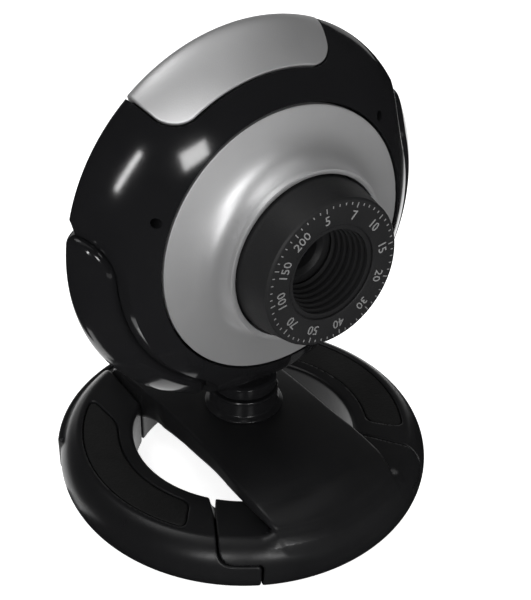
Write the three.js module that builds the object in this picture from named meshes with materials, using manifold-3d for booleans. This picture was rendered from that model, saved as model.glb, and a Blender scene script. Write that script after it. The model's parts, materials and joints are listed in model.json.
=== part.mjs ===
// A USB webcam: a disc-shaped head on a swivelling neck, on a low ring base that opens like a clip.
// Millimetres, +Z up. The origin is on the floor at the centre of the base, and the lens looks along -Y.
import * as THREE from "three";
import { mergeVertices } from "three/addons/utils/BufferGeometryUtils.js";
import Module from "manifold-3d";

const wasm = await Module();
wasm.setup();

const DEG = Math.PI / 180;
const GAP = 0.3;

// Ring base
const BASE_R = 33;
const BASE_H = 11;
const BASE_BOTTOM = 0.5;
const BASE_EDGE_R = 4.8;
const CREASE_R = 29.6;
const INNER_R = 19.9;
const INNER_H = 9.8;
const POCKET_OUT_R = 30;
const POCKET_IN_R = 22;
const POCKET_TOP = 7.4;
const COVER_BOTTOM = 0.8;
const COVER_TOP = 2;
const PAD_OUT_R = 28.6;
const PAD_IN_R = 22.6;
const PAD_BEDDED = 0.7;
const FOOT_R = 2.6;
const FOOT_TOP = 0.65;

// Split between the clip arm and the ring leg
const SPLIT_IN = [15.1, -12.9];
const SPLIT_OUT = [23.2, -27.4];
const SPLIT_GAP = 0.6;
const TONGUE_TOP = 6.6;
const TONGUE_ANGLE = 28;

// Bridge over the middle of the base
const BRIDGE_W = 12.2;
const BRIDGE_CROWN = 1;
const BRIDGE_TOP = 15;
const LEG_END_X = 12.6;

// Hinge at the back of the base
const HINGE_Y = 25.4;
const HINGE_Z = 5.6;
const KNUCKLE_R = 3.8;
const KNUCKLE_X = 12.1;
const SPRING_ROOM = 3.6;
const PIN_R = 1.5;
const PIN_HALF = 17.5;
const PIN_CLEARANCE = 0.15;
const LIP_R = 33.4;
const LIP_T = 1.2;
const LIP_ANGLE = 60;
const LIP_BOTTOM = 1.6;
const LIP_TOP = 8.2;
const SPRING_WIRE_R = 0.35;
const SPRING_COIL_R = 2.3;
const SPRING_TURNS = 4;

// Neck
const COLLAR_R = 6.0;
const COLLAR_TOP = 18.9;
const FLANGE_R = 7;
const FLANGE_BOTTOM = 15.3;
const SLEEVE_R = 5.2;
const NECK_BORE_R = 5.5;
const SPIGOT_R = 4;
const STEM_R = 5.7;
const STEM_TOP = 21.7;
const NECK_R = 2.2;
const BALL_R = 4.4;
const BALL_Z = 33;
const BOSS_R = 7.6;
const BOSS_BOTTOM = 9.9;

// Head. It is turned about the lens axis: s is the distance forwards from the head's centre.
const HEAD_Z = 52.9;
const HEAD_ROLL = 9.8;
const BEZEL_R = 22.3;
const EQUATOR_R = 32.3;
const EQUATOR_S = 1;
const FRONT_DEPTH = 16.4;
const REAR_DEPTH = 13.5;
const FRONT_CURVE = [[EQUATOR_R, EQUATOR_S], [EQUATOR_R, 4], [26.3, 8.85], [BEZEL_R, 11]];
const REAR_END_S = EQUATOR_S - REAR_DEPTH;
const REAR_CURVE = [[0, REAR_END_S], [20.6, REAR_END_S], [EQUATOR_R, -1.5], [EQUATOR_R, EQUATOR_S]];
const SHELL_T = 2.4;
const PART_S = -4.5;
const BEZEL_SEAT_S = 9.5;
const BEZEL_STEP_R = 20.6;
const BEZEL_HOLE_ANGLE = 57.6;
const BEZEL_HOLE_R = 24.1;
const STEM_SLOT = { x: 8.4, back: -9, front: 10, top: -29.4 };
const NECK_SLOT = { x: 4.7, back: -5.2, front: 6, top: -24 };

// Panels let into the front shell: their angles about the lens axis and their front edge
const TOP_PANEL = { from: 59.5, to: 120.5, front: 8, corner: 4 };
const LEFT_PANEL = { from: 158, to: 240, front: 7.3, corner: 4 };
const RIGHT_PANEL = { from: -60, to: 22, front: 7.3, corner: 4 };
const PANEL_T = 1.1;
const PANEL_BED = 1.5;
const PANEL_BULGE = 0.15;
const TOP_GROOVE = 0.3;
const SIDE_GROOVE = 1.1;

// Ball seat and sockets
const SEAT_R = 5.2;
const SOCKET_HALF_X = 7.6;
const SOCKET_TOP = 6.6;
const SOCKET_BOTTOM = -3.2;
const SOCKET_HALF_S = 7.5;

// Lens and focus ring
const PLATE_R = 21.9;
const RING_BACK_R = 13.05;
const RING_FRONT_R = 11.9;
const RING_FRONT_S = 22.5;
const RING_FLANGE_R = 14.6;
const RING_FLANGE_S = 12.4;
const BORE_R = 6.95;
const BORE_END_R = 5.2;
const BORE_END_S = 15.2;
const RIBS = 4;
const BARREL_R = 5.9;
const BARREL_CLEARANCE = 0.35;
const BARREL_FRONT_S = 14.6;
const BARREL_BACK_S = 1.2;
const KEY_R = 6.9;
const BOARD_R = 18.2;
const BOARD_FRONT_S = -3;
const BOARD_T = 1.6;
const SCREW_CIRCLE_R = 22.4;
const SCREW_ANGLES = [90, 215, 325];
const EAR_X = 10;

// Materials
const finish = (color, roughness, metalness = 0) =>
  new THREE.MeshStandardMaterial({ color, roughness, metalness });
const GLOSS_BLACK = finish(0x0b0b0c, 0.16);
const SATIN_BLACK = finish(0x1a1a1b, 0.45);
const SOFT_BLACK = finish(0x161616, 0.85);
const SILVER = finish(0xb9b9b9, 0.38, 0.6);
const STEEL = finish(0xa8a8a8, 0.3, 1);
const GLASS = finish(0x23262c, 0.05);
const BOARD_GREEN = finish(0x14502a, 0.5);
const CHIP_GREY = finish(0x2c2c30, 0.35);

// --- Solids ---------------------------------------------------------------

function solid(geometry) {
  const bare = geometry.clone();
  bare.deleteAttribute("normal");
  bare.deleteAttribute("uv");
  const merged = mergeVertices(bare, 1e-4);
  const index = merged.index.array;
  const triangles = [];
  for (let i = 0; i < index.length; i += 3) {
    const [a, b, c] = [index[i], index[i + 1], index[i + 2]];
    if (a !== b && b !== c && c !== a) triangles.push(a, b, c);
  }
  const vertProperties = merged.attributes.position.array;
  const build = (list) =>
    new wasm.Manifold(new wasm.Mesh({ numProp: 3, vertProperties, triVerts: new Uint32Array(list) }));
  const made = build(triangles);
  return made.volume() < 0 ? build(triangles.reverse()) : made;
}

function geometryOf(body) {
  const mesh = body.getMesh();
  const geometry = new THREE.BufferGeometry();
  geometry.setAttribute("position", new THREE.BufferAttribute(new Float32Array(mesh.vertProperties), 3));
  geometry.setIndex(new THREE.BufferAttribute(new Uint32Array(mesh.triVerts), 1));
  geometry.computeVertexNormals();
  return geometry;
}

const join = (...bodies) => bodies.reduce((whole, body) => whole.add(body));
const cut = (body, ...tools) => tools.reduce((rest, tool) => rest.subtract(tool), body);

// A profile of [radius, height] points turned about +Z. It starts and ends on the axis, or closes on itself.
function turned(profile, segments = 40) {
  const points = profile.map(([r, z]) => new THREE.Vector2(r, z));
  return new THREE.LatheGeometry(points, segments).rotateX(Math.PI / 2);
}

const closed = (profile) => [...profile, profile[0]];
const spun = (profile, segments) => solid(turned(closed(profile), segments));
const tube = (rOut, rIn, low, high, segments) =>
  spun([[rIn, low], [rOut, low], [rOut, high], [rIn, high]], segments);

function cylinder(radius, low, high, segments = 32) {
  return solid(turned([[0, low], [radius, low], [radius, high], [0, high]], segments));
}

function block(low, high) {
  const size = high.map((value, i) => value - low[i]);
  const centre = high.map((value, i) => (value + low[i]) / 2);
  return solid(new THREE.BoxGeometry(...size).translate(...centre));
}

// A flat outline of [x, y] points, raised from one height to another.
function prism(outline, low, high) {
  const shape = new THREE.Shape(outline.map(([x, y]) => new THREE.Vector2(x, y)));
  const geometry = new THREE.ExtrudeGeometry(shape, { depth: high - low, bevelEnabled: false });
  return geometry.translate(0, 0, low);
}

function arc(cx, cy, radius, from, to, steps) {
  return Array.from({ length: steps + 1 }, (_, i) => {
    const angle = (from + ((to - from) * i) / steps) * DEG;
    return [cx + radius * Math.cos(angle), cy + radius * Math.sin(angle)];
  });
}

const parts = new THREE.Group();
const head = new THREE.Group();
head.position.z = HEAD_Z;
head.rotation.set(Math.PI / 2, 0, HEAD_ROLL * DEG);
parts.add(head);

function add(group, name, body, material) {
  const geometry = body.isBufferGeometry ? body : geometryOf(body);
  const mesh = new THREE.Mesh(geometry, material);
  mesh.name = name;
  group.add(mesh);
}

// --- Base ------------------------------------------------------------------

// The ring's full section, from the floor side round the outer edge to the dished top.
function baseSection(grow = 0) {
  const r = BASE_EDGE_R;
  const side = BASE_R - r;
  return [
    [INNER_R, BASE_BOTTOM],
    ...arc(side, BASE_BOTTOM + r, r, -90, 0, 4),
    ...arc(side, BASE_H - r, r, 0, 68, 4),
    [CREASE_R - 0.4, BASE_H - 0.35],
    [INNER_R + 0.5, INNER_H + grow],
    [INNER_R, INNER_H - 0.5 + grow],
  ];
}

// Plan region of the clip arm's front sector, |x| mirrored, above or below the step in the split.
function frontSector(gap, below) {
  const [ix, iy] = SPLIT_IN;
  const [ox, oy] = SPLIT_OUT;
  const far = BASE_R + 6;
  const inner = [ix - gap, iy - gap];
  const outer = below
    ? [far * Math.sin(TONGUE_ANGLE * DEG) - gap, -far * Math.cos(TONGUE_ANGLE * DEG)]
    : [ox - gap, oy - gap];
  const start = below ? [INNER_R * Math.sin(TONGUE_ANGLE * DEG) * 0.9 - gap, -16] : inner;
  return [
    [-start[0], start[1]],
    [-outer[0], outer[1]],
    [-outer[0], -far],
    [outer[0], -far],
    outer,
    start,
  ];
}

// Height of the bridge's top edge and underside along Y.
const bridgeTop = (y) => BRIDGE_TOP - BRIDGE_CROWN + 0.2 - 0.011 * y - 0.0031 * y * y;

function bridgeSide() {
  const top = [];
  for (let y = -24; y <= 20; y += 4) top.push([y, bridgeTop(y) + BRIDGE_CROWN * 0.6]);
  const rear = arc(HINGE_Y - 2.6, bridgeTop(20) - 4.4, 4.6, 75, 0, 4);
  const underside = [[HINGE_Y - 1, HINGE_Z], [HINGE_Y - 4.6, 2.4], [17.6, 2.4], [14.5, 5]];
  const nose = [[-31, 6.4], [-31.6, 7.6], [-31, 9], [-29.4, 10.9], [-27, 12.2]];
  return [...nose, ...top, ...rear, ...underside, [9, 8.6], [0, 10.2], [-14, 10.6], [-20, 9.2]];
}

function bridgeBody() {
  const side = prism(bridgeSide(), -BRIDGE_W, BRIDGE_W);
  side.applyMatrix4(new THREE.Matrix4().makeBasis(
    new THREE.Vector3(0, 1, 0), new THREE.Vector3(0, 0, 1), new THREE.Vector3(1, 0, 0)));
  return solid(side);
}

// A bar of the bridge's width whose top is crowned across X, used to trim the bridge.
function crownTrim() {
  const crown = arc(0, BRIDGE_TOP + 0.9 - 75, 75, 78, 102, 8);
  const outline = [[-16, -1], [16, -1], ...crown];
  return solid(prism(outline, -40, 40).rotateX(Math.PI / 2));
}

function clipArm() {
  const ring = spun(baseSection(), 48);
  const above = solid(prism(frontSector(SPLIT_GAP / 2, false), TONGUE_TOP + GAP, 20));
  const below = solid(prism(frontSector(GAP / 2, true), -1, TONGUE_TOP + GAP + 0.01));
  const sector = ring.intersect(join(above, below));
  const bridge = bridgeBody().intersect(crownTrim()).intersect(cylinder(BASE_R - 1.2, -1, 30, 72));
  const knuckle = hingeBar(KNUCKLE_R, KNUCKLE_X);
  const pocketPlan = solid(prism(frontSector(4.5, true), -1, POCKET_TOP));
  const pocket = tube(POCKET_OUT_R, POCKET_IN_R, -1, POCKET_TOP, 48).intersect(pocketPlan);
  const pinBore = hingeBar(PIN_R + PIN_CLEARANCE, 20);
  const springRoom = block([-SPRING_ROOM, HINGE_Y - 4.4, -1], [SPRING_ROOM, HINGE_Y + 6, HINGE_Z + 3.4]);
  const boss = cylinder(BOSS_R, BOSS_BOTTOM, BRIDGE_TOP - 2, 32);
  const bossFace = cylinder(BOSS_R + 0.6, -1, BOSS_BOTTOM, 32);
  const neckBore = cylinder(NECK_BORE_R, -1, 30, 32);
  return cut(join(cut(join(sector, bridge, knuckle), bossFace), boss), pocket, pinBore, springRoom, neckBore);
}

// The clip arm's bottom plate fills the mouth of its pocket.
function armCover() {
  const plan = solid(prism(frontSector(4.5 + GAP, true), 0, COVER_TOP));
  return tube(POCKET_OUT_R - GAP, POCKET_IN_R + GAP, COVER_BOTTOM, COVER_TOP, 48).intersect(plan);
}

// A bar along the hinge's axis.
function hingeBar(radius, half, segments = 24) {
  const bar = new THREE.CylinderGeometry(radius, radius, 2 * half, segments).rotateZ(Math.PI / 2);
  return solid(bar.translate(0, HINGE_Y, HINGE_Z));
}

function legOfRing() {
  const ring = spun(baseSection(), 48);
  const above = solid(prism(frontSector(-SPLIT_GAP / 2, false), TONGUE_TOP, 20));
  const below = solid(prism(frontSector(-GAP / 2, true), -1, TONGUE_TOP + 0.01));
  const bridgeWay = block([-LEG_END_X, -15, -1], [LEG_END_X, 40, 20]);
  const bridgeFront = block([-BRIDGE_W - GAP, -40, -1], [BRIDGE_W + GAP, -14, 20]);
  const rims = cut(ring, above, below, bridgeWay, bridgeFront);
  const lipRing = tube(LIP_R, LIP_R - LIP_T, LIP_BOTTOM, LIP_TOP, 48);
  const reach = 60;
  const lipSpan = solid(prism([
    [0, 0],
    [reach * Math.sin(LIP_ANGLE * DEG), reach * Math.cos(LIP_ANGLE * DEG)],
    [0, reach * 1.5],
    [-reach * Math.sin(LIP_ANGLE * DEG), reach * Math.cos(LIP_ANGLE * DEG)],
  ], -1, 20));
  const flatBack = block([-40, -40, -1], [40, BASE_R, 20]);
  const lip = lipRing.intersect(lipSpan).intersect(flatBack);
  const pockets = [-1, 1].map((side) =>
    tube(POCKET_OUT_R, POCKET_IN_R, -1, POCKET_TOP, 48).intersect(legPocketPlan(side, 0, -1, POCKET_TOP)));
  const padBeds = [-1, 1].map((side) => padSolid(side, GAP));
  const pinBore = hingeBar(PIN_R + PIN_CLEARANCE, PIN_HALF + GAP);
  return cut(join(rims, lip), ...pockets, ...padBeds, pinBore);
}

// Plan of the hollow under one rim, kept clear of the split and of the hinge pin's boss.
function legPocketPlan(side, inset, low, high) {
  const plan = [
    [19.4 + inset, -9],
    [36, -14 + inset],
    [36, 13 - inset],
    [19.4 + inset, 13 - inset],
  ];
  return solid(prism(plan.map(([x, y]) => [x * side, y]), low, high));
}

function legCover(side) {
  const plan = legPocketPlan(side, GAP, 0, COVER_TOP);
  return tube(POCKET_OUT_R - GAP, POCKET_IN_R + GAP, COVER_BOTTOM, COVER_TOP, 48).intersect(plan);
}

// A shallow inlay on top of one rim; grow widens it into the bed it lies in.
function padSolid(side, grow) {
  const slope = (BASE_H - 0.35 - INNER_H) / (CREASE_R - 0.4 - INNER_R - 0.5);
  const topAt = (r) => INNER_H + slope * (r - INNER_R - 0.5) - (grow ? -2 : 0.25);
  const bottomAt = (r) => INNER_H + slope * (r - INNER_R - 0.5) - PAD_BEDDED - (grow ? GAP + 0.2 : 0.2);
  const [a, b] = [PAD_IN_R - grow, PAD_OUT_R + grow];
  const section = [[a, bottomAt(a)], [b, bottomAt(b)], [b, topAt(b)], [a, topAt(a)]];
  const plan = [
    [17.2, -12.6 - grow],
    [32, -25 - grow],
    [40, 19 + grow],
    [19.9 - grow, 19 + grow],
    [19.2 - grow, 9 + grow],
    [14, 0],
  ];
  const region = solid(prism(plan.map(([x, y]) => [x * side, y]), -1, 20));
  return spun(section, 60).intersect(region);
}

function foot(x, y) {
  return solid(turned([[0, 0], [FOOT_R - 0.3, 0], [FOOT_R, 0.3], [FOOT_R, FOOT_TOP], [0, FOOT_TOP]], 20)
    .translate(x, y, 0));
}

function hingePin() {
  const profile = [[0, -PIN_HALF], [PIN_R - 0.3, -PIN_HALF], [PIN_R, -PIN_HALF + 0.3],
    [PIN_R, PIN_HALF - 0.3], [PIN_R - 0.3, PIN_HALF], [0, PIN_HALF]];
  return solid(turned(profile, 20).rotateY(Math.PI / 2).translate(0, HINGE_Y, HINGE_Z));
}

// A torsion spring of closed turns round the hinge pin.
function clipSpring() {
  const length = 2 * (SPRING_ROOM - 0.8);
  class Coil extends THREE.Curve {
    getPoint(t, target = new THREE.Vector3()) {
      const angle = t * SPRING_TURNS * 2 * Math.PI;
      return target.set(
        (t - 0.5) * length,
        HINGE_Y + SPRING_COIL_R * Math.cos(angle),
        HINGE_Z + SPRING_COIL_R * Math.sin(angle),
      );
    }
  }
  const wire = new THREE.Shape(arc(0, 0, SPRING_WIRE_R, 0, 300, 5).map(([x, y]) => new THREE.Vector2(x, y)));
  const coil = new THREE.ExtrudeGeometry(wire, { steps: SPRING_TURNS * 8, extrudePath: new Coil() });
  return solid(coil);
}

add(parts, "ring_leg", legOfRing(), GLOSS_BLACK);
add(parts, "clip_arm", clipArm(), GLOSS_BLACK);
add(parts, "arm_cover", armCover(), SATIN_BLACK);
add(parts, "front_foot_pad", foot(0, -27), SOFT_BLACK);
for (const [name, side] of [["left", -1], ["right", 1]]) {
  add(parts, `${name}_leg_pad`, padSolid(side, 0), SOFT_BLACK);
  add(parts, `${name}_leg_cover`, legCover(side), SATIN_BLACK);
  add(parts, `${name}_foot_pad`, foot(side * 26, 4), SOFT_BLACK);
}
add(parts, "hinge_pin", hingePin(), STEEL);
add(parts, "clip_spring", clipSpring(), STEEL);

// --- Neck ------------------------------------------------------------------

function neckCollar() {
  return spun([
    [SPIGOT_R + GAP, BOSS_BOTTOM + 0.4],
    [SLEEVE_R, BOSS_BOTTOM + 0.4],
    [SLEEVE_R, FLANGE_BOTTOM],
    [FLANGE_R, FLANGE_BOTTOM],
    [FLANGE_R, FLANGE_BOTTOM + 0.3],
    [COLLAR_R + 0.2, FLANGE_BOTTOM + 1.2],
    [COLLAR_R, COLLAR_TOP - 0.3],
    [COLLAR_R - 0.3, COLLAR_TOP],
    [SPIGOT_R + GAP, COLLAR_TOP],
  ], 24);
}

function neckStem() {
  const ball = arc(0, BALL_Z, BALL_R, -58, 90, 6).map(([r, z]) => [Math.max(r, 0), z]);
  const profile = [
    [0, BOSS_BOTTOM],
    [SPIGOT_R, BOSS_BOTTOM],
    [SPIGOT_R, COLLAR_TOP + GAP],
    [STEM_R - 0.3, COLLAR_TOP + GAP],
    [STEM_R, COLLAR_TOP + 2 * GAP],
    [STEM_R, STEM_TOP - 0.4],
    [STEM_R - 0.4, STEM_TOP],
    [NECK_R, STEM_TOP + 0.8],
    ...ball,
  ];
  const screwHole = cylinder(1.5, BOSS_BOTTOM - 1, BOSS_BOTTOM + 6, 12);
  return cut(solid(turned(profile, 24)), screwHole);
}

const swivelWasher = () => tube(6.8, 1.6, BOSS_BOTTOM - 1.3, BOSS_BOTTOM - GAP, 24);

function swivelScrew() {
  const under = BOSS_BOTTOM - 1.6;
  return solid(turned([[0, under - 1.4], [2.4, under - 1.4], [2.8, under - 0.9], [2.8, under], [1.2, under],
    [1.2, under + 7], [0, under + 7]], 20));
}

add(parts, "neck_collar", neckCollar(), SATIN_BLACK);
add(parts, "neck_stem", neckStem(), GLOSS_BLACK);
add(parts, "swivel_washer", swivelWasher(), STEEL);
add(parts, "swivel_screw", swivelScrew(), STEEL);

// --- Head ------------------------------------------------------------------
// Inside the head group +Z is forwards along the lens axis, +X is the object's +X and +Y is up.

// Points of a cubic curve through [radius, s] control points.
function curve(controls, steps) {
  const bezier = new THREE.CubicBezierCurve(...controls.map(([r, along]) => new THREE.Vector2(r, along)));
  return bezier.getPoints(steps).map((point) => [Math.max(0, point.x), point.y]);
}

// The head's outer body, or the body that lies a given depth under its surface.
function headBody(inset) {
  const out = (r) => Math.max(0, r * (1 - inset / EQUATOR_R));
  const depthAt = (at) => (at > EQUATOR_S ? FRONT_DEPTH : REAR_DEPTH);
  const along = (at) => EQUATOR_S + (at - EQUATOR_S) * (1 - inset / depthAt(at));
  const rear = curve(REAR_CURVE, 6).slice(0, -1);
  const front = curve(FRONT_CURVE, 6);
  const nose = [[14, EQUATOR_S + FRONT_DEPTH - 2], [0, EQUATOR_S + FRONT_DEPTH]];
  const profile = [...rear, ...front, ...nose].map(([r, at]) => [out(r), along(at)]);
  return solid(turned(profile, 40));
}

const upright = (body) => body.rotate([0, 0, -HEAD_ROLL]);

// A body that covers a range of angles about the lens axis, between two distances along it.
function sectorBody(from, to, back, front) {
  return solid(prism([[0, 0], ...arc(0, 0, 60, from, to, 8)], back, front));
}

// Everything in line with one panel, with its two front corners rounded off.
function panelRegion(panel, grow) {
  const reach = 28;
  const angle = grow / reach / DEG;
  const radius = panel.corner + grow;
  const turn = radius / reach / DEG;
  const [from, to] = [panel.from - angle, panel.to + angle];
  const front = panel.front + grow;
  const corners = [from + turn, to - turn].map((at) =>
    solid(new THREE.CylinderGeometry(radius, radius, 30, 20)
      .translate(0, 33, front - radius).rotateZ((at - 90) * DEG)));
  return join(
    sectorBody(from, to, PART_S - 2, front - radius),
    sectorBody(from + turn, to - turn, PART_S - 2, front),
    ...corners,
  );
}

function panel(spec) {
  const skin = cut(headBody(-PANEL_BULGE), headBody(PANEL_T));
  const front = block([-50, -50, PART_S + GAP], [50, 50, 50]);
  return panelRegion(spec, 0).intersect(skin).intersect(front);
}

function stemSlot() {
  const ways = [STEM_SLOT, NECK_SLOT].map(({ x, back, front, top }) =>
    block([-x, -40, back], [x, top, front]));
  return upright(join(...ways));
}

function around(radius, angle) {
  return [radius * Math.cos(angle * DEG), radius * Math.sin(angle * DEG)];
}

function frontShell() {
  const outer = headBody(0);
  const bosses = SCREW_ANGLES.map((angle) => {
    const [x, y] = around(SCREW_CIRCLE_R, angle);
    return cylinder(2.6, PART_S, 9, 16).translate([x, y, 0]).intersect(outer);
  });
  const bossHoles = SCREW_ANGLES.map((angle) => {
    const [x, y] = around(SCREW_CIRCLE_R, angle);
    return cylinder(1.3, PART_S - 1, 4, 12).translate([x, y, 0]);
  });
  const bezelHoles = [-1, 1].map((side) => {
    const [x, y] = around(BEZEL_HOLE_R, 90 + side * BEZEL_HOLE_ANGLE);
    return cylinder(0.8, 4, 14, 12).translate([x, y, 0]);
  });
  const bedOf = (spec, grow) => cut(panelRegion(spec, grow).intersect(headBody(-2)), headBody(PANEL_BED));
  const sideBeds = [LEFT_PANEL, RIGHT_PANEL].map((spec) => bedOf(spec, SIDE_GROOVE));
  const wall = cut(outer, headBody(SHELL_T));
  return cut(
    join(wall, ...bosses),
    block([-50, -50, -50], [50, 50, PART_S]),
    cylinder(BEZEL_STEP_R, 0, 30, 40),
    cylinder(BEZEL_R, BEZEL_SEAT_S, 30, 40),
    bedOf(TOP_PANEL, TOP_GROOVE),
    ...sideBeds,
    ...bossHoles,
    ...bezelHoles,
    stemSlot(),
  );
}

function rearShell() {
  const outer = headBody(0);
  const bosses = SCREW_ANGLES.map((angle) => {
    const [x, y] = around(SCREW_CIRCLE_R, angle);
    return cylinder(3, -12, PART_S, 16).translate([x, y, 0]).intersect(outer);
  });
  const screwWays = SCREW_ANGLES.map((angle) => {
    const [x, y] = around(SCREW_CIRCLE_R, angle);
    return join(cylinder(1.3, -20, 0, 12), cylinder(2.3, -20, PART_S - 2, 16)).translate([x, y, 0]);
  });
  const glandHole = upright(cylinder(3, -20, -5, 20).translate([0, -9, 0]));
  return cut(
    join(cut(outer, headBody(SHELL_T)), ...bosses),
    block([-50, -50, PART_S - GAP], [50, 50, 50]),
    ...screwWays,
    glandHole,
    stemSlot(),
  );
}

function shellScrew(angle) {
  const seat = PART_S - 2 - GAP;
  const [x, y] = around(SCREW_CIRCLE_R, angle);
  const profile = [[0, seat - 1], [1.6, seat - 1], [2, seat - 0.6], [2, seat], [1, seat], [1, 3.6], [0, 3.6]];
  return solid(turned(profile, 16)).translate([x, y, 0]);
}

// The flared silver plate round the focus ring.
function facePlate() {
  return spun([
    [PLATE_R, 9.8],
    [PLATE_R, 10.9],
    [20.2, 11.4],
    [18.4, 12.1],
    [16.8, 13.2],
    [15.5, 14.8],
    [14.7, 16.2],
    [14, 16.6],
    [13.35, 16.4],
    [13.35, 13.5],
    [15, 13.5],
    [16.4, 12.1],
    [18, 11.1],
    [20, 10.2],
  ], 36);
}

function focusRing() {
  const ribs = [];
  const step = (RING_FRONT_S - 0.7 - BORE_END_S) / RIBS;
  for (let i = 0; i < RIBS; i += 1) {
    const s = RING_FRONT_S - 0.7 - i * step;
    const r = BORE_R - ((BORE_R - BORE_END_R) * i) / RIBS;
    ribs.push([r, s], [r - 0.3, s - step]);
  }
  const body = spun([
    [RING_FLANGE_R, RING_FLANGE_S],
    [RING_FLANGE_R, RING_FLANGE_S + 0.8],
    [RING_BACK_R, RING_FLANGE_S + 0.8],
    [RING_BACK_R, 16.9],
    [RING_FRONT_R + 0.15, RING_FRONT_S - 0.5],
    [RING_FRONT_R - 0.3, RING_FRONT_S],
    [BORE_R + 0.4, RING_FRONT_S - 0.3],
    ...ribs,
    [BARREL_R + BARREL_CLEARANCE, BORE_END_S],
    [BARREL_R + BARREL_CLEARANCE, RING_FLANGE_S],
  ], 32);
  const keyways = block([-KEY_R - GAP, -1.1, RING_FLANGE_S - 1], [KEY_R + GAP, 1.1, BORE_END_S - 0.1]);
  return cut(body, keyways);
}

function lensBarrel() {
  const body = spun([
    [2.4, BARREL_BACK_S + 3],
    [2.9, BARREL_BACK_S + 3],
    [2.9, BARREL_BACK_S],
    [BARREL_R - 0.4, BARREL_BACK_S],
    [BARREL_R, BARREL_BACK_S + 0.4],
    [BARREL_R, BARREL_FRONT_S - 0.3],
    [BARREL_R - 0.3, BARREL_FRONT_S],
    [4.2, BARREL_FRONT_S],
    [3.6, BARREL_FRONT_S - 0.8],
    [3.6, BARREL_FRONT_S - 2.6],
    [2.4, BARREL_FRONT_S - 2.6],
  ], 24);
  const keyPlate = tube(KEY_R, BARREL_R - 0.6, 12.9, 14, 32)
    .intersect(block([-10, -0.8, 12.9], [10, 0.8, 14]));
  return join(body, keyPlate);
}

function frontLens() {
  const back = BARREL_FRONT_S - 2.3;
  const dome = arc(0, back - 2.2, 4.2, 38, 90, 5).map(([r, s]) => [Math.max(0, r), s]);
  return solid(turned([[0, back], [3.3, back], ...dome.filter(([r]) => r < 3.3)], 20));
}

function rearLens() {
  return solid(turned([[0, BARREL_BACK_S + 0.9], [1.6, BARREL_BACK_S + 1.1], [2.6, BARREL_BACK_S + 1.5],
    [2.6, BARREL_BACK_S + 2.7], [0, BARREL_BACK_S + 2.7]], 24));
}

// Square housing on the circuit board that the barrel screws into, with a disc behind the focus ring.
function lensHolder() {
  const base = block([-7.6, -7.6, BOARD_FRONT_S + GAP], [7.6, 7.6, 1.4]);
  const sleeve = cylinder(7.6, 0, 12.05, 24);
  const disc = cylinder(16, 10.9, 12.05, 32);
  const ears = block([-EAR_X - 2, -2, BOARD_FRONT_S + GAP], [EAR_X + 2, 2, 0]);
  const sensorRoom = block([-5, -5, -5], [5, 5, -1]);
  const filterRoom = block([-3.9, -3.9, -2], [3.9, 3.9, 0.3]);
  const barrelBore = cylinder(BARREL_R + GAP, 0.8, 20, 24);
  const window = block([-2.9, -2.9, 0], [2.9, 2.9, 2]);
  const screwHoles = [-EAR_X, EAR_X].map((x) => cylinder(1, -5, -0.6, 12).translate([x, 0, 0]));
  return cut(join(base, sleeve, disc, ears), sensorRoom, filterRoom, window, barrelBore, ...screwHoles);
}

function boardScrew(x) {
  const seat = BOARD_FRONT_S - BOARD_T - GAP;
  return solid(turned([[0, seat - 1], [1.4, seat - 1], [1.7, seat - 0.6], [1.7, seat], [0.7, seat], [0.7, -1],
    [0, -1]], 14)).translate([x, 0, 0]);
}

function circuitBoard() {
  const disc = cylinder(BOARD_R, BOARD_FRONT_S - BOARD_T, BOARD_FRONT_S, 40);
  const holes = [-EAR_X, EAR_X].map((x) => cylinder(1, -9, 0, 12).translate([x, 0, 0]));
  return cut(disc, upright(block([-30, -30, -9], [30, -12.8, 0])), ...holes);
}

// Room the ball seat, neck and stem need inside the two sockets.
function socketHollow(radius) {
  const ballY = BALL_Z - HEAD_Z;
  const ball = solid(new THREE.SphereGeometry(radius, 20, 12).translate(0, ballY, 0));
  const mouth = solid(turned([[0, -12], [7, -12], [3.8, SOCKET_BOTTOM], [1, 0], [0, 0]], 20)
    .rotateX(-Math.PI / 2).translate(0, ballY, 0));
  return join(ball, mouth);
}

function socket(back, front) {
  const ballY = BALL_Z - HEAD_Z;
  const [bottom, top] = [ballY + SOCKET_BOTTOM, ballY + SOCKET_TOP];
  const body = block([-SOCKET_HALF_X, bottom, back], [SOCKET_HALF_X, top, front]);
  return cut(upright(body), upright(socketHollow(SEAT_R + GAP))).intersect(headBody(SHELL_T + GAP));
}

// The cup that grips the ball, open below for the neck.
function ballSeat() {
  const profile = [
    ...arc(0, 0, SEAT_R, -34, 90, 5).map(([r, z]) => [Math.max(0, r), z]),
    ...arc(0, 0, BALL_R + GAP, 90, -39, 5).map(([r, z]) => [Math.max(0, r), z]),
  ];
  return solid(turned(closed(profile), 20)).translate([0, 0, BALL_Z]);
}

function microphone() {
  const [x, y] = around(BEZEL_HOLE_R - 1.2, 90 + BEZEL_HOLE_ANGLE);
  return cylinder(2.4, 2.6, 8, 20).translate([x, y, 0]).intersect(headBody(SHELL_T + GAP));
}

function indicatorLed() {
  const [x, y] = around(BEZEL_HOLE_R - 0.6, 90 - BEZEL_HOLE_ANGLE);
  return cylinder(1.5, 2.6, 8, 16).translate([x, y, 0]).intersect(headBody(SHELL_T + GAP));
}

function cableGland() {
  const seat = EQUATOR_S - REAR_DEPTH;
  const profile = [[1.7, seat + 5], [2.7, seat + 5], [2.7, seat + 0.1], [3.8, seat - 0.1], [3.8, seat - 0.7],
    [3.4, seat - 1.1], [1.7, seat - 1.1]];
  return upright(spun(profile, 20).translate([0, -9, 0]));
}

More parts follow.
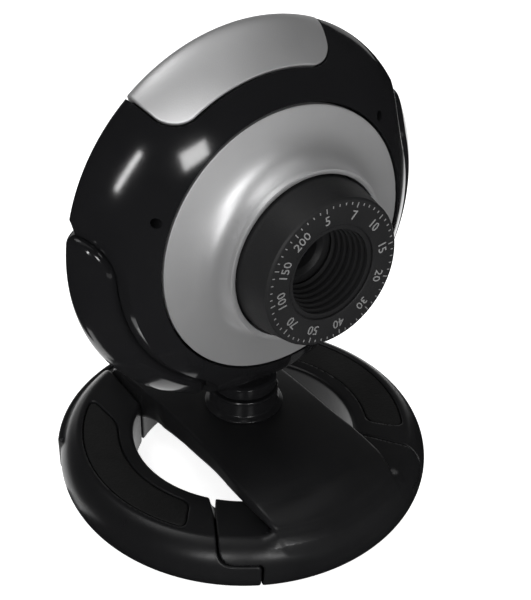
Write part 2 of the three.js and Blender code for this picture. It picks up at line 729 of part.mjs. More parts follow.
add(head, "front_shell", frontShell(), GLOSS_BLACK);
add(head, "rear_shell", rearShell(), GLOSS_BLACK);
add(head, "top_inlay", panel(TOP_PANEL), SILVER);
add(head, "left_side_cover", panel(LEFT_PANEL), GLOSS_BLACK);
add(head, "right_side_cover", panel(RIGHT_PANEL), GLOSS_BLACK);
add(head, "face_plate", facePlate(), SILVER);
add(head, "focus_ring", focusRing(), SATIN_BLACK);
add(head, "lens_barrel", lensBarrel(), SATIN_BLACK);
add(head, "front_lens", frontLens(), GLASS);
add(head, "rear_lens", rearLens(), GLASS);
add(head, "lens_holder", lensHolder(), SATIN_BLACK);
add(head, "ir_filter", block([-3.5, -3.5, -0.6], [3.5, 3.5, 0]), GLASS);
add(head, "image_sensor", block([-4.4, -4.4, BOARD_FRONT_S + GAP], [4.4, 4.4, -1.5]), CHIP_GREY);
add(head, "circuit_board", circuitBoard(), BOARD_GREEN);
add(head, "microphone", microphone(), STEEL);
add(head, "indicator_led", indicatorLed(), GLASS);
add(head, "cable_gland", cableGland(), SOFT_BLACK);
add(head, "front_socket", socket(GAP / 2, SOCKET_HALF_S), SATIN_BLACK);
add(head, "rear_socket", socket(-SOCKET_HALF_S, -GAP / 2), SATIN_BLACK);
SCREW_ANGLES.forEach((angle, i) => add(head, `shell_screw_${i + 1}`, shellScrew(angle), STEEL));
[-EAR_X, EAR_X].forEach((x, i) => add(head, `board_screw_${i + 1}`, boardScrew(x), STEEL));
add(parts, "ball_seat", ballSeat(), SATIN_BLACK);

export default parts;
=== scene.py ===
import json
import math
import bpy
import numpy as np
from mathutils import Matrix, Vector


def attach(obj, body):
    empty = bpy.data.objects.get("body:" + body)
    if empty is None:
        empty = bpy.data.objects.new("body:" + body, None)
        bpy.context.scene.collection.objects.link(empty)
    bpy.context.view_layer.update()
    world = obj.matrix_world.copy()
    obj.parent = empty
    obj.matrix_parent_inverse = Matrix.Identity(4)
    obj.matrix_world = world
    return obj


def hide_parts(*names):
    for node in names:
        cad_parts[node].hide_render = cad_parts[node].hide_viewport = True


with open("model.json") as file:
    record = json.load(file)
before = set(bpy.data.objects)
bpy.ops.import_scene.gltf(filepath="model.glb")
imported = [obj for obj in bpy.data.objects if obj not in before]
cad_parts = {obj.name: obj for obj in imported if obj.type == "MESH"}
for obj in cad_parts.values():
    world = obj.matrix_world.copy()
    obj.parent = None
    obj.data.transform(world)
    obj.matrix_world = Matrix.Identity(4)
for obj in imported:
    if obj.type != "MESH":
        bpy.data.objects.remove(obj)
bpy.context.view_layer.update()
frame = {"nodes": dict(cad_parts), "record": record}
MM = 0.001

# ---------------------------------------------------------------- camera

AZ, EL, ROLL = (math.radians(v) for v in (-36.10, 32.61, 1.44))
FOCAL_PX = 1108.39
CAM_MM = (-89.83, -129.0, 136.98)
SENSOR_MM = 36
IMAGE_PX = 600  # the longer side of the image


def make_camera():
    """The photograph's camera, from its azimuth, elevation, roll, focal length and place."""
    back = Vector((math.sin(AZ) * math.cos(EL), -math.cos(AZ) * math.cos(EL), math.sin(EL)))
    level = Vector((math.cos(AZ), math.sin(AZ), 0))
    upright = back.cross(level)
    right = level * math.cos(ROLL) + upright * math.sin(ROLL)
    up = upright * math.cos(ROLL) - level * math.sin(ROLL)
    data = bpy.data.cameras.new("camera")
    data.sensor_width = SENSOR_MM
    data.lens = FOCAL_PX / IMAGE_PX * SENSOR_MM
    data.clip_start = 0.005
    data.clip_end = 50
    cam = bpy.data.objects.new("camera", data)
    place = Matrix((right, up, back)).transposed().to_4x4()
    place.translation = Vector(CAM_MM) * MM
    cam.matrix_world = place
    bpy.context.scene.collection.objects.link(cam)
    bpy.context.scene.camera = cam


make_camera()

# ---------------------------------------------------------------- driving dimensions, in millimetres

# The head is drawn in its own (x, y, s): s runs forward along the lens axis from the middle of the head.
HEAD_Z = 52.9  # height of the lens axis
HEAD_ROLL = math.radians(9.8)  # how far the trim is turned about the lens axis
EQ_R, EQ_S = 32.3, 1.06  # the head's widest circle, as a radius and an s
BEZEL_R, BEZEL_S = 22.35, 10.98  # the front shell's edge round the face plate
PART_S = -4.5  # where the front and rear shells meet
SEAM = 0.12  # the gap between them
SHELL_T = 2.4
HOLLOW = 1 - SHELL_T / EQ_R  # the shells' inside, as a share of their outside
BALL_Z, BALL_R = 33, 4.4  # the ball on the stem
STEM_R = 2.25

# The base is drawn upright, with r for the distance from the vertical axis through the neck.
RIM_R, RIM_H = 27.5, 5.475  # the rim's half-round: its centre's r, and its radius, also its centre's height
HOLE_R = 19.85
BRIDGE_HALF = 12.2  # half the width of the bridge
TURN_Y = 22.6  # where the bridge turns down to the hinge
HINGE = (25.4, 5.6)  # the hinge pin's y and z
KNUCKLE_R = 3.75
PIN_R = 1.65
SPLIT_N = (-0.8753, -0.4836)  # across the split between the clip arm and the ring leg
STEP_Z = 7.2  # height of the step in the split

# ---------------------------------------------------------------- materials


def node(tree, kind, **inputs):
    made = tree.nodes.new(kind)
    for key, value in inputs.items():
        made.inputs[key.replace("_", " ")].default_value = value
    return made


def ramp(tree, source, stops):
    """A colour ramp with two stops, each a place and a colour."""
    made = tree.nodes.new("ShaderNodeValToRGB")
    for element, (place, color) in zip(made.color_ramp.elements, stops):
        element.position = place
        element.color = (*color, 1)
    tree.links.new(source, made.inputs["Fac"])
    return made.outputs["Color"]


def to_range(tree, source, low, high):
    """A noise value, which is mostly between 0.3 and 0.7, as a value between low and high."""
    made = node(tree, "ShaderNodeMapRange", From_Min=0.3, From_Max=0.7, To_Min=low, To_Max=high)
    tree.links.new(source, made.inputs["Value"])
    return made.outputs["Result"]


def average(tree, first, second):
    half = tree.nodes.new("ShaderNodeMath")
    half.operation = "MULTIPLY"
    half.inputs[1].default_value = 0.5
    tree.links.new(second, half.inputs[0])
    total = tree.nodes.new("ShaderNodeMath")
    total.operation = "MULTIPLY_ADD"
    total.inputs[1].default_value = 0.5
    tree.links.new(first, total.inputs[0])
    tree.links.new(half.outputs[0], total.inputs[2])
    return total.outputs[0]


def material(name, color, color2, rough, rough2, metallic=0.0, grain=3000.0, bump=0.02, scuff=60.0,
             specular=0.5, coat=0.0, coat_rough=0.05, stretch=(1, 1, 1)):
    """Moulded or painted surface: mottled colour, worn gloss, and a fine grain in the bump."""
    mat = bpy.data.materials.new(name)
    mat.use_nodes = True
    tree = mat.node_tree
    shader = tree.nodes["Principled BSDF"]
    coords = tree.nodes.new("ShaderNodeTexCoord")
    place = node(tree, "ShaderNodeMapping", Scale=stretch)
    tree.links.new(coords.outputs["Object"], place.inputs["Vector"])
    broad = node(tree, "ShaderNodeTexNoise", Scale=scuff, Detail=5.0, Roughness=0.6)
    fine = node(tree, "ShaderNodeTexNoise", Scale=grain, Detail=2.0, Roughness=0.5)
    wear = node(tree, "ShaderNodeTexNoise", Scale=scuff * 9, Detail=6.0, Roughness=0.7)
    for noise in (broad, fine, wear):
        tree.links.new(place.outputs["Vector"], noise.inputs["Vector"])
    mottle = ramp(tree, broad.outputs["Fac"], [(0.35, color), (0.68, color2)])
    worn = average(tree, wear.outputs["Fac"], broad.outputs["Fac"])
    grainy = node(tree, "ShaderNodeBump", Strength=bump, Distance=0.0002)
    tree.links.new(fine.outputs["Fac"], grainy.inputs["Height"])
    tree.links.new(mottle, shader.inputs["Base Color"])
    tree.links.new(to_range(tree, worn, rough, rough2), shader.inputs["Roughness"])
    tree.links.new(grainy.outputs["Normal"], shader.inputs["Normal"])
    shader.inputs["Metallic"].default_value = metallic
    shader.inputs["Specular IOR Level"].default_value = specular
    shader.inputs["Coat Weight"].default_value = coat
    shader.inputs["Coat Roughness"].default_value = coat_rough
    return mat


GLOSS = material("gloss_black_plastic", (0.0055, 0.0055, 0.006), (0.0075, 0.0075, 0.008), 0.08, 0.15,
                 grain=900, bump=0.008, scuff=35, specular=0.28)
BASE_GLOSS = material("base_black_plastic", (0.006, 0.006, 0.0065), (0.009, 0.009, 0.0095), 0.26, 0.38,
                      grain=1500, bump=0.05, scuff=40, specular=0.26)
NECK_GLOSS = material("neck_black_plastic", (0.0055, 0.0055, 0.006), (0.0085, 0.0085, 0.009), 0.16, 0.26,
                      grain=1600, bump=0.02, specular=0.3)
SATIN = material("satin_black_plastic", (0.009, 0.009, 0.0095), (0.013, 0.013, 0.0135), 0.42, 0.55,
                 grain=2600, bump=0.12, scuff=45, specular=0.25)
SOFT = material("soft_black_rubber", (0.005, 0.005, 0.005), (0.008, 0.008, 0.008), 0.5, 0.62,
                grain=2200, bump=0.35, scuff=70, specular=0.2)
SILVER = material("silver_paint", (0.60, 0.60, 0.605), (0.66, 0.66, 0.665), 0.42, 0.50,
                  metallic=0.85, grain=5200, bump=0.10, scuff=30)
STEEL = material("zinc_steel", (0.36, 0.36, 0.37), (0.5, 0.5, 0.51), 0.22, 0.38, metallic=1.0,
                 grain=1400, bump=0.08, scuff=120, stretch=(1, 6, 6))
GLASS = material("coated_glass", (0.004, 0.005, 0.008), (0.007, 0.006, 0.012), 0.03, 0.06, grain=300,
                 bump=0.004, scuff=50, specular=0.7, coat=0.6, coat_rough=0.02)
BOARD = material("solder_mask", (0.008, 0.06, 0.02), (0.012, 0.09, 0.03), 0.35, 0.5, grain=1800, bump=0.1)
CHIP = material("chip_mould", (0.02, 0.02, 0.022), (0.035, 0.035, 0.04), 0.3, 0.45, grain=2400, bump=0.1)
PRINT = material("grey_print", (0.12, 0.12, 0.12), (0.17, 0.17, 0.17), 0.5, 0.65, grain=2600, bump=0.05)
BY_SLOT = {"gloss_black": GLOSS, "satin_black": SATIN, "soft_black": SOFT, "silver": SILVER, "steel": STEEL,
           "glass": GLASS, "board_green": BOARD, "chip_grey": CHIP}

# ---------------------------------------------------------------- mesh tools


def head_points(p):
    """The head's own (x, y, s) in the shared frame, with its roll about the lens axis."""
    p = np.asarray(p, float)
    c, s = math.cos(HEAD_ROLL), math.sin(HEAD_ROLL)
    return np.stack([p[:, 0] * c - p[:, 1] * s, -p[:, 2], HEAD_Z + p[:, 0] * s + p[:, 1] * c], 1)


def raw_mesh(name, verts, faces):
    mesh = bpy.data.meshes.new(name)
    mesh.from_pydata((np.asarray(verts) * MM).tolist(), [], [tuple(int(i) for i in f) for f in faces])
    return mesh


def finish_mesh(name, verts, faces, mat, body, nodes=(), sharp=32, normals=None):
    """A piece made of these faces. Edges over sharp degrees are hard, unless the normals are given."""
    mesh = raw_mesh(name, verts, faces)
    mesh.validate()
    mesh.materials.append(mat)
    mesh.shade_smooth()
    if normals is not None:
        mesh.normals_split_custom_set_from_vertices(normals.tolist())
    else:
        mesh.set_sharp_from_angle(angle=math.radians(sharp))
    obj = bpy.data.objects.new(name, mesh)
    bpy.context.scene.collection.objects.link(obj)
    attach(obj, body)
    if nodes:
        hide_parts(*nodes)
    return obj


def bezier(points, steps):
    """Points along a cubic curve with four control points."""
    t = np.linspace(0, 1, steps + 1)[:, None]
    a, b, c, d = (np.array(p, float) for p in points)
    return (1 - t) ** 3 * a + 3 * (1 - t) ** 2 * t * b + 3 * (1 - t) * t ** 2 * c + t ** 3 * d


def rounded(points, radii, steps=4):
    """A closed outline with its corners rounded. radii is one number, or one for each point."""
    pts = [np.array(p, float) for p in points]
    n = len(pts)
    radii = [radii] * n if np.isscalar(radii) else radii
    out = []
    for i, corner in enumerate(pts):
        a, b = pts[i - 1] - corner, pts[(i + 1) % n] - corner
        len_a, len_b = np.linalg.norm(a), np.linalg.norm(b)
        if radii[i] <= 0 or min(len_a, len_b) < 1e-6:
            out.append(corner)
            continue
        a, b = a / len_a, b / len_b
        cos = float(np.clip(a @ b, -1, 1))
        if cos < -0.995:
            out.append(corner)
            continue
        cut = min(radii[i] / math.tan(math.acos(cos) / 2), len_a * 0.45, len_b * 0.45)
        start, end = corner + a * cut, corner + b * cut
        for k in range(steps + 1):
            t = k / steps
            out.append((1 - t) ** 2 * start + 2 * (1 - t) * t * corner + t ** 2 * end)
    return np.array(out)


def lathe(profile, seg):
    """Vertices and quads, facing out, of a closed [radius, s] outline turned about the s axis."""
    profile = np.asarray(profile, float)
    n = len(profile)
    radius, s = profile.T
    area = (radius * np.roll(s, -1) - np.roll(radius, -1) * s).sum()
    turn = (np.arange(seg) * 2 * math.pi / seg)[:, None]
    verts = np.stack([radius * np.cos(turn), radius * np.sin(turn), np.tile(s, (seg, 1))], 2).reshape(-1, 3)
    i, j = np.meshgrid(np.arange(seg), np.arange(n), indexing="ij")
    i2, j2 = (i + 1) % seg, (j + 1) % n
    faces = np.stack([i * n + j, i2 * n + j, i2 * n + j2, i * n + j2], 2).reshape(-1, 4)
    return verts, faces if area > 0 else faces[:, ::-1]


def weld(verts, faces):
    """Merges points that coincide, such as those on the axis, and drops faces left with under 3 corners."""
    key = np.round(np.asarray(verts) / 1e-5).astype(np.int64)
    _, first, merged = np.unique(key, axis=0, return_index=True, return_inverse=True)
    merged = merged.reshape(-1)
    out = []
    for face in faces:
        kept = []
        for i in face:
            k = int(merged[i])
            if not kept or kept[-1] != k:
                kept.append(k)
        if len(kept) > 1 and kept[0] == kept[-1]:
            kept.pop()
        if len(kept) > 2:
            out.append(kept)
    return np.asarray(verts)[first], out


def boolean(obj, cutters):
    """Cuts closed meshes, each given as its vertices and faces, out of obj."""
    for verts, faces in cutters:
        mesh = raw_mesh("cutter", verts, faces)
        cutter = bpy.data.objects.new("cutter", mesh)
        bpy.context.scene.collection.objects.link(cutter)
        mod = obj.modifiers.new("cut", "BOOLEAN")
        mod.operation = "DIFFERENCE"
        mod.solver = "MANIFOLD"
        mod.object = cutter
        bpy.context.view_layer.update()
        depsgraph = bpy.context.evaluated_depsgraph_get()
        new = bpy.data.meshes.new_from_object(obj.evaluated_get(depsgraph))
        obj.modifiers.clear()
        old = obj.data
        obj.data = new
        bpy.data.meshes.remove(old)
        bpy.data.objects.remove(cutter)
        bpy.data.meshes.remove(mesh)
    obj.data.shade_smooth()
    obj.data.set_sharp_from_angle(angle=math.radians(32))


def rod_mesh(radius, low, high):
    return weld(*lathe([(0, low), (radius, low), (radius, high), (0, high)], 24))


# ---------------------------------------------------------------- smooth solids from a distance field

STEP = 0.36  # the grid's step


def smax(a, b, k):
    """The greater of two distances, blended over k: what two shapes have in common, with a soft edge."""
    h = np.clip(0.5 - 0.5 * (b - a) / k, 0, 1)
    return b * (1 - h) + a * h + k * h * (1 - h)


def smin(a, b, k):
    """The lesser of two distances, blended over k: two shapes joined by a fillet."""
    return -smax(-a, -b, k)


def smoothstep(x, low, high):
    t = np.clip((x - low) / (high - low), 0, 1)
    return t * t * (3 - 2 * t)


def gradient(field, pts):
    eps = 0.03
    slope = np.zeros_like(pts)
    for axis in range(3):
        ahead, behind = pts.copy(), pts.copy()
        ahead[:, axis] += eps
        behind[:, axis] -= eps
        slope[:, axis] = (field(*ahead.T) - field(*behind.T)) / (2 * eps)
    return slope


def net_points(val, inside):
    """Surface nets: in each grid cell that the surface crosses, the middle of its crossings, in cells."""
    cells = [k - 1 for k in val.shape]
    count = np.zeros(cells, int)
    total = np.zeros(cells + [3])

    def at(corner):
        return tuple(slice(corner[d], cells[d] + corner[d]) for d in range(3))

    for a in [(i, j, k) for i in (0, 1) for j in (0, 1) for k in (0, 1)]:
        for axis in range(3):
            if a[axis]:
                continue
            b = tuple(a[e] + (e == axis) for e in range(3))
            crossed = inside[at(a)] != inside[at(b)]
            t = np.where(crossed, val[at(a)] / np.where(crossed, val[at(a)] - val[at(b)], 1), 0)
            for e in range(3):
                total[..., e] += np.where(crossed, a[e] + (t if e == axis else 0), 0)
            count += crossed
    used = count > 0
    corner = np.stack(np.meshgrid(*[np.arange(k) for k in cells], indexing="ij"), 3).astype(float)
    return corner[used] + total[used] / count[used][:, None], used


def net_faces(inside, used):
    """A quad, facing out, across each grid edge that the surface crosses."""
    index = -np.ones(used.shape, int)
    index[used] = np.arange(used.sum())
    faces = []
    for axis in range(3):
        e, f = (axis + 1) % 3, (axis + 2) % 3
        near = [slice(1, n - 1) for n in inside.shape]
        far = list(near)
        near[axis] = slice(0, inside.shape[axis] - 1)
        far[axis] = slice(1, inside.shape[axis])
        a, b = inside[tuple(near)], inside[tuple(far)]
        cell = np.argwhere(a != b) + np.array([int(d != axis) for d in range(3)])
        quad = []
        for de, df in ((0, 0), (-1, 0), (-1, -1), (0, -1)):
            c = cell.copy()
            c[:, e] += de
            c[:, f] += df
            quad.append(index[tuple(c.T)])
        quad = np.stack(quad, 1)
        outward = a[a != b]
        quad[~outward] = quad[~outward][:, ::-1]
        faces.append(quad)
    return np.concatenate(faces)


def surface(field, low, high):
    """The zero surface of field(x, y, z) within a box: its points, quads and normals."""
    axes = [np.arange(low[d], high[d] + STEP, STEP) for d in range(3)]
    val = field(*np.meshgrid(*axes, indexing="ij"))
    inside = val < 0
    pts, used = net_points(val, inside)
    pts = pts * STEP + np.array(low)
    for _ in range(3):
        slope = gradient(field, pts)
        move = field(*pts.T)[:, None] * slope / np.maximum((slope * slope).sum(1, keepdims=True), 0.2)
        length = np.linalg.norm(move, axis=1, keepdims=True)
        pts = pts - move * np.minimum(1, 0.25 * STEP / np.maximum(length, 1e-9))
    slope = gradient(field, pts)
    normals = slope / np.maximum(np.linalg.norm(slope, axis=1, keepdims=True), 1e-9)
    return pts, net_faces(inside, used), normals


# ---------------------------------------------------------------- base


def rim_top(r):
    """Height of the rim's dished top, which slopes to the middle."""
    return 9.7 + 0.086 * (r - HOLE_R)


def rim(r, z):
    """The ring's section: a half-round outside, under the dished top."""
    half_round = np.where(r > RIM_R, np.hypot(r - RIM_R, z - RIM_H), np.abs(z - RIM_H)) - RIM_H
    d = smax(half_round, (z - rim_top(r)) * 0.996, 0.25)
    d = smax(d, HOLE_R - r, 0.9)
    return smax(d, 0.5 - z, 0.6)


def rim_hollow(r, z):
    """The channel under the rim, which the covers close."""
    return smax(np.abs(r - 26) - 4, z - 7.4, 0.3)


def from_pin(y, z):
    return np.hypot(y - HINGE[0], z - HINGE[1])


def split(x, y):
    """Distances past the upper and the lower part of the split, positive on the clip arm's side."""
    across = SPLIT_N[0] * np.abs(x) + SPLIT_N[1] * y
    return across + 7.0, across


def half_gap(x, r):
    """The left split is open a little, widest at its inner end. The right one is closed to a seam."""
    left = 0.15 + 0.33 * np.clip((23.6 - r) / 3.6, 0, 1)
    return np.where(x < 0, left, 0.08)


def arm_side(x, y, z):
    """The clip arm's side of the split, which laps over the ring leg's by the step."""
    gap = half_gap(x, np.hypot(x, y))
    above, below = split(x, y)
    return smin(smax(gap - above, STEP_Z + 0.07 - z, 2.4), gap - below, 0.8)


def leg_side(x, y, z):
    gap = half_gap(x, np.hypot(x, y))
    above, below = split(x, y)
    return smax(-smax(-(above + gap), STEP_Z - 0.07 - z, 2.4), below + gap, 0.8)


# the underside of the bridge: its height at each y
UNDER_Y = [-34, -28, -24, -17, -10, 0, 4, 7, 10, 13, 16.2, 18, 19.2, 20.5]
UNDER_Z = [8.0, 9.6, 11.0, 11.0, 10.8, 10.1, 9.5, 8.9, 8.2, 7.2, 5.8, 4.6, 3.0, -1.0]


def bridge(x, y, z):
    """The crowned bridge over the ring's hole, from the front rim to the hinge."""
    r = np.hypot(x, y)
    top = 14.2 - 0.012 * y - 0.0021 * y * y + 0.8 * (1 - (x / 12.4) ** 2)
    draft = 0.2 * np.clip(top - z, 0, 3) * smoothstep(-y, -11, -6)
    half = BRIDGE_HALF + 0.5 * smoothstep(-y, 8, 18) + draft
    under = np.interp(y, UNDER_Y, UNDER_Z) + 0.7 * smoothstep(np.abs(x), 11.4, 12.6)
    d = smax(np.abs(x) - half, z - top, 0.5)
    d = smax(d, (under - z) * 0.75, 0.5)
    nose = (np.hypot(np.maximum(r - 20, 0) / 12.1, (z - 5.4) / 10.0) - 1) * 9
    nose = nose - 12.0 * smoothstep(y, -13, -3)
    d = smax(d, nose, 0.3 + 1.3 * smoothstep(r, 22, 28))
    d = smax(d, 0.6 - z, 0.4)
    rear = smin(y - TURN_Y, np.hypot(y - TURN_Y, z - 7.4) - 5.15, 0.4)
    rear = smin(rear, from_pin(y, z) - KNUCKLE_R, 0.8)
    return smax(d, rear, 0.5)


def knuckle_block(x, y, z):
    """The solid rear of the arm, round the hinge pin."""
    d = smax(np.abs(x) - BRIDGE_HALF, 19.8 - np.hypot(x, y), 0.5)
    d = smax(d, 0.6 - z, 0.5)
    d = smax(d, z - 11.5, 0.4)
    rear = smin(y - TURN_Y, from_pin(y, z) - KNUCKLE_R, 0.8)
    return smax(smax(d, rear, 0.4), -y, 0.2)


def arm_field(x, y, z):
    r = np.hypot(x, y)
    sector = smax(rim(r, z), arm_side(x, y, z), 0.3)
    sector = smax(sector, y + 6, 0.2)
    fillet = 0.35 + 1.4 * np.clip((r - 27) / 3.5, 0, 1) * np.clip((33 - r) / 1.6, 0.1, 1)
    d = smin(sector, bridge(x, y, z), fillet)
    d = smin(d, knuckle_block(x, y, z), 0.5)
    hollow = smax(rim_hollow(r, z), 4.5 - split(x, y)[1], 0.3)
    d = smax(d, -hollow, 0.25)
    spring_room = smax(np.abs(x) - 3.6, 21.0 - y, 0.2)
    spring_room = smax(spring_room, z - 9.0, 0.2)
    d = smax(d, -spring_room, 0.3)
    boss = smax(r - 7.6, 9.9 - z, 0.3)
    boss = smax(boss, z - 12, 0.2)
    under_boss = smax(r - 8.2, z - 9.9, 0.2)
    d = smin(smax(d, -under_boss, 0.3), boss, 0.3)
    neck_bore = r - 5.5
    return smax(smax(d, -neck_bore, 0.3), PIN_R - from_pin(y, z), 0.2)


def pad_plan(x, y):
    """Distance past the outline, seen from above, of the inlays in the two rims."""
    r = np.hypot(x, y)
    front = 7.37 - 0.7809 * np.abs(x) - 0.6247 * y
    rear = 17.47 - 0.9946 * np.abs(x) + 0.1042 * y
    d = smax(front, rear, 2.2)
    d = smax(d, 22.6 - r, 1.6)
    return smax(d, r - 28.7, 1.6)


def pad_field(side):
    def field(x, y, z):
        top = rim_top(np.hypot(x, y))
        d = smax(pad_plan(x, y), z - top + 0.1, 0.35)
        d = smax(d, top - 0.55 - z, 0.1)
        return smax(d, -side * x, 0.1)
    return field


def leg_field(x, y, z):
    r = np.hypot(x, y)
    d = smax(rim(r, z), leg_side(x, y, z), 0.3)
    arm_room = smax(np.abs(x) - 12.6, -12.5 - y, 0.3)
    d = smax(d, -arm_room, 0.4)
    lip = smax(np.abs(r - 32.8) - 0.6, np.abs(z - 4.9) - 3.3, 0.5)
    lip = smax(lip, -y + 0.56 * np.abs(x), 0.5)
    lip = smax(lip, y - 33.0, 0.3)
    d = smin(d, lip, 0.3)
    pad_bed = smax(pad_plan(x, y) - 0.12, rim_top(r) - 0.6 - z, 0.2)
    d = smax(d, -pad_bed, 0.25)
    hollow = smax(rim_hollow(r, z), np.abs(y) - 13, 0.3)
    hollow = smax(hollow, 19.4 - np.abs(x), 0.3)
    d = smax(d, -hollow, 0.25)
    pin_room = smax(from_pin(y, z) - PIN_R, np.abs(x) - 17.8, 0.1)
    return smax(d, -pin_room, 0.2)


def solid(name, field, low, high, mat, body, nodes):
    verts, faces, normals = surface(field, low, high)
    finish_mesh(name, verts, faces, mat, body, nodes, normals=normals)


solid("base_ring_leg", leg_field, (-34.5, -34.5, -0.5), (34.5, 34.5, 12), BASE_GLOSS, "ring",
      ["ring_leg"])
solid("base_clip_arm", arm_field, (-24, -34.5, -0.5), (24, 31, 16), BASE_GLOSS, "arm",
      ["clip_arm"])
for side, name in ((-1, "left"), (1, "right")):
    low_x, high_x = (-30, -1) if side < 0 else (1, 30)
    solid(f"{name}_rim_pad", pad_field(side), (low_x, -26, 8), (high_x, 24, 11.5), SOFT, "ring",
          [f"{name}_leg_pad"])

# ---------------------------------------------------------------- neck


def turned_z(name, profile, mat, body, nodes):
    """A closed [radius, height] outline turned about the vertical axis."""
    verts, faces = weld(*lathe(profile, 96))
    finish_mesh(name, verts, faces, mat, body, nodes)


def neck_flange():
    profile = rounded([(4.3, 10.4), (5.2, 10.4), (5.2, 15.25), (6.9, 15.1), (7.0, 15.55), (6.45, 15.85),
                       (6.1, 16.1), (5.95, 18.4), (6.1, 18.65), (5.95, 18.95), (4.3, 18.95)],
                      [0, 0.2, 0, 0.1, 0.2, 0.2, 0.4, 0.15, 0.15, 0.15, 0.1])
    turned_z("neck_flange", profile, NECK_GLOSS, "arm", ["neck_collar"])


def neck_post():
    post = rounded([(0, 9.9), (4, 9.9), (4, 19.2), (5.5, 19.2), (5.75, 19.5), (5.75, 21.4), (5.3, 21.75),
                    (STEM_R, 22.5), (STEM_R, 28.8)], [0, 0.3, 0, 0.1, 0.1, 0.2, 0.3, 0.3, 0], 3)
    angles = np.radians(np.linspace(-59, 90, 24))
    ball = [(BALL_R * math.cos(a), BALL_Z + BALL_R * math.sin(a)) for a in angles]
    ball[-1] = (0, BALL_Z + BALL_R)
    turned_z("neck_post", [*post, *ball], GLOSS, "neck", ["neck_stem"])


neck_flange()
neck_post()

# ---------------------------------------------------------------- head

FRONT = bezier([(BEZEL_R, BEZEL_S), (26.3, 8.85), (EQ_R, 3.98), (EQ_R, EQ_S)], 90)
REAR = bezier([(EQ_R, EQ_S), (EQ_R, -0.75), (20.6, -11.9), (0, -12.5)], 160)
CUT = int(np.argmin(np.abs(REAR[:, 1] - PART_S)))
OUTER = np.concatenate([FRONT, REAR[1:CUT + 1]])
OUTER[-1, 1] = PART_S

# distance along the outer surface from the face plate, and the surface's slope and normal at each point
LENGTH = np.concatenate([[0], np.cumsum(np.linalg.norm(np.diff(OUTER, axis=0), axis=1))])
TANGENT = np.gradient(OUTER, axis=0)
TANGENT /= np.linalg.norm(TANGENT, axis=1, keepdims=True)
NORMAL = np.stack([-TANGENT[:, 1], TANGENT[:, 0]], 1)
if NORMAL[len(NORMAL) // 2, 0] < 0:
    NORMAL = -NORMAL


def at_s(s):
    """Distance along the outer surface to the place where it has this s."""
    return float(np.interp(-s, -OUTER[:, 1], LENGTH))


# The trim panels: where round the head each is and half of how far it reaches, in degrees, where its front
# edge is along the outer surface, and the radius of its corners.
ARC_R = 29.0
TOP = {"mid": 90.0, "half": 30.5, "front": at_s(8.0), "corner": 4.2}
LEFT = {"mid": 199.6, "half": 40.4, "front": at_s(7.2), "corner": 6.4}
RIGHT = {"mid": -19.6, "half": 40.4, "front": at_s(7.2), "corner": 6.4}
CHANNEL = 2.0  # width of the groove round the side covers
REAR_END = LENGTH[-1] - 0.2


def rect_distance(theta, v, panel, grow=0.0):
    """Distance past the panel's outline, at theta degrees round the head and v along the outer surface."""
    turn = (theta - panel["mid"] + 180) % 360 - 180
    half = math.radians(panel["half"]) * ARC_R + grow
    c = panel["corner"] + grow
    qa = np.radians(np.abs(turn)) * ARC_R - half + c
    qb = panel["front"] - grow - v + c
    return np.hypot(np.maximum(qa, 0), np.maximum(qb, 0)) + np.minimum(np.maximum(qa, qb), 0) - c


def bed_depth(theta, v):
    """How far the front shell's surface lies under the plain outer surface."""
    depth = smoothstep(-rect_distance(theta, v, TOP, 0.28), -0.02, 0.22) * 1.3
    for cover in (LEFT, RIGHT):
        t = np.clip(-rect_distance(theta, v, cover, CHANNEL) / (CHANNEL + 0.1), 0, 1)
        depth = np.maximum(depth, 1.15 * t * (1.2 - 0.2 * t) + 0.3 * smoothstep(t, 0.9, 1.0))
    return depth


def stem_way():
    """An upright bell-shaped way through the shells, for the neck. It doesn't roll with the trim."""
    mouth, waist, top = 9.6, 5.2, HEAD_Z - 24
    bell = bezier([(mouth, 20), (mouth, 25), (waist, 23.8), (waist, 27.5)], 20)
    return weld(*lathe([(0, 10), (mouth, 10), *bell, (waist, top), (0, top)], 72))


def head_rod(radius, low, high, out, angle):
    """A rod along the lens axis, out from it by this much at this angle."""
    verts, faces = rod_mesh(radius, low, high)
    a = math.radians(angle)
    return head_points(verts + np.array([out * math.cos(a), out * math.sin(a), 0])), faces


def shell_front():
    """The front shell, with its beds pressed in, and small holes for the microphone and the indicator."""
    seg = 960
    lip = [(20.6, 7.2), (20.6, 9.1), (22.15, 9.2), (BEZEL_R - 0.08, BEZEL_S)]
    lip = rounded(lip, [0, 0.2, 0.2, 0], 3)[:-1]
    inner = OUTER[::-10] * HOLLOW
    inner = inner[(inner[:, 1] < 7.0) & (inner[:, 0] > 20.8)]
    inner[0, 1] = PART_S
    verts, faces = lathe(np.concatenate([lip, OUTER, inner]), seg)
    verts = verts.reshape(seg, -1, 3)
    turn = (np.arange(seg) * 2 * math.pi / seg)[:, None]
    depth = bed_depth(np.degrees(turn), LENGTH)
    r, s = (OUTER[:, k] - depth * NORMAL[:, k] for k in range(2))
    verts[:, len(lip):len(lip) + len(OUTER)] = np.stack([r * np.cos(turn), r * np.sin(turn), s], 2)
    verts = head_points(verts.reshape(-1, 3))
    obj = finish_mesh("head_front_shell", verts, faces, GLOSS, "head", ["front_shell"], sharp=40)
    holes = [head_rod(0.75, 4, 14, 24.1, 90 + side * 57.6) for side in (-1, 1)]
    boolean(obj, [*holes, stem_way()])


